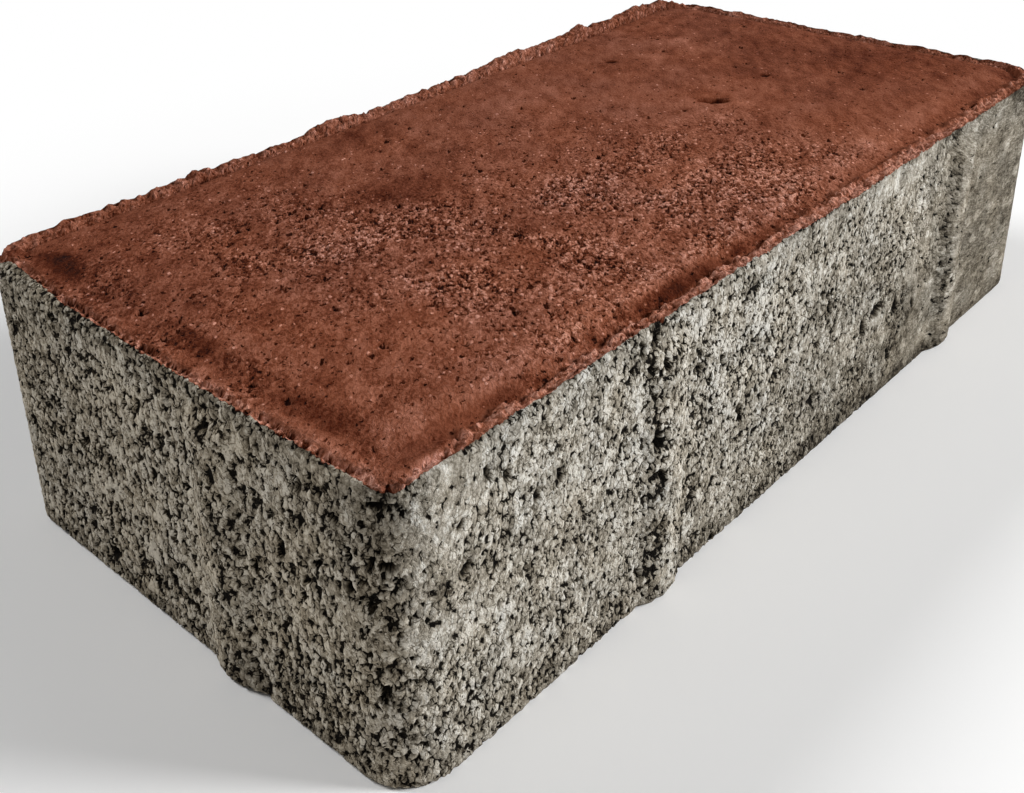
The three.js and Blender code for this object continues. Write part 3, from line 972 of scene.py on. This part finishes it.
def rough_shader(n, colour, coarse, fine):
    relief = n.total((coarse, COARSE_BUMP), fine)
    bump = n.add("ShaderNodeBump", named={"Distance": MM, "Height": relief}).outputs[0]
    return n.add("ShaderNodeBsdfPrincipled", named={
        "Base Color": colour, "Roughness": n.total((fine, 0.2), ROUGHNESS), "Specular IOR Level": SHEEN,
        "Normal": bump,
    }).outputs[0]


def stone_material():
    material = bpy.data.materials.new("concrete")
    material.use_nodes = True
    n = Nodes(material.node_tree)
    rim, side, top = surface(n)
    shaders = []
    for (coarse, fine, light, warmth), stops in ((side, CONCRETE_STOPS), (top, PIGMENT_STOPS)):
        colour = tinted(n, colour_ramp(n, light, stops), warmth)
        shaders.append(rough_shader(n, colour, coarse, fine))
    mixed = n.add("ShaderNodeMixShader", n.step(rim, -COLOUR_EDGE, COLOUR_EDGE), *shaders)
    n.add("ShaderNodeOutputMaterial", mixed.outputs[0])
    return material


# --- Stage ---

def place_camera():
    azimuth, elevation, roll = (math.radians(angle) for angle in (AZIMUTH, ELEVATION, ROLL))
    back = Vector((math.sin(azimuth) * math.cos(elevation), -math.cos(azimuth) * math.cos(elevation),
                   math.sin(elevation)))
    right = Vector((0, 0, 1)).cross(back).normalized()
    up = back.cross(right)
    right, up = (right * math.cos(roll) + up * math.sin(roll), up * math.cos(roll) - right * math.sin(roll))
    data = bpy.data.cameras.new("camera")
    data.sensor_width = SENSOR
    data.sensor_fit = "HORIZONTAL"
    data.lens = FOCAL_LENGTH * SENSOR / IMAGE_WIDTH
    data.shift_x = (IMAGE_WIDTH / 2 - AXIS_X) / IMAGE_WIDTH
    data.shift_y = (AXIS_Y - IMAGE_HEIGHT / 2) / IMAGE_WIDTH
    data.clip_start, data.clip_end = CLIP_START, CLIP_END
    camera = add_object("camera", data)
    camera.matrix_world = Matrix((right, up, back)).transposed().to_4x4()
    camera.location = AIM + back * DISTANCE + right * SLIDE_RIGHT + up * SLIDE_UP
    bpy.context.scene.camera = camera


def seen_directly(n):
    """1 for rays from the camera, also by a mirror or through glass."""
    path = n.add("ShaderNodeLightPath").outputs
    seen = n.math("MAXIMUM", path["Is Camera Ray"], path["Is Glossy Ray"])
    return n.math("MAXIMUM", seen, path["Is Transmission Ray"])


def lay_floor():
    half = FLOOR_SIZE / 2
    mesh = bpy.data.meshes.new("floor")
    mesh.from_pydata([(-half, -half, 0), (half, -half, 0), (half, half, 0), (-half, half, 0)], [],
                     [(0, 1, 2, 3)])
    floor = add_object("floor", mesh)
    material = bpy.data.materials.new("floor")
    material.use_nodes = True
    n = Nodes(material.node_tree)
    place = n.add("ShaderNodeTexCoord").outputs["Object"]
    away = n.vector("LENGTH", place, output="Value")
    plain = n.product(n.step(away, *FLOOR_FADE), seen_directly(n))
    matte = n.add("ShaderNodeBsdfDiffuse", FLOOR_COLOUR).outputs[0]
    white = n.add("ShaderNodeEmission", (1, 1, 1, 1), 1.0).outputs[0]
    mixed = n.add("ShaderNodeMixShader", plain, matte, white).outputs[0]
    n.add("ShaderNodeOutputMaterial", mixed)
    mesh.materials.append(material)
    floor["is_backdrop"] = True


def light_scene():
    world = bpy.data.worlds.new("studio")
    bpy.context.scene.world = world
    world.use_nodes = True
    n = Nodes(world.node_tree)
    strength = n.mix(seen_directly(n), WORLD_STRENGTH, 1.0)
    background = n.add("ShaderNodeBackground", (1, 1, 1, 1), strength).outputs[0]
    n.add("ShaderNodeOutputWorld", background)
    for name, (direction, level) in LAMPS.items():
        lamp = bpy.data.lights.new(name, "AREA")
        lamp.shape = "DISK"
        lamp.size = LAMP_SIZE
        lamp.energy = level * math.pi ** 2 * LAMP_DISTANCE ** 2
        lamp_object = add_object(name, lamp)
        toward = Vector(direction).normalized()
        lamp_object.location = AIM + toward * LAMP_DISTANCE
        lamp_object.rotation_euler = toward.to_track_quat("Z", "Y").to_euler()


place_camera()
light_scene()
lay_floor()
stone = build_stone()
stone.data.materials.append(stone_material())
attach(stone, "root")
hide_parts(NODE)

scene = bpy.context.scene
scene.view_settings.view_transform = "Standard"
boxes = {"cad": cad_box, "visual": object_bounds()}
{name: [list(map(float, corner)) for corner in box] for name, box in boxes.items()}
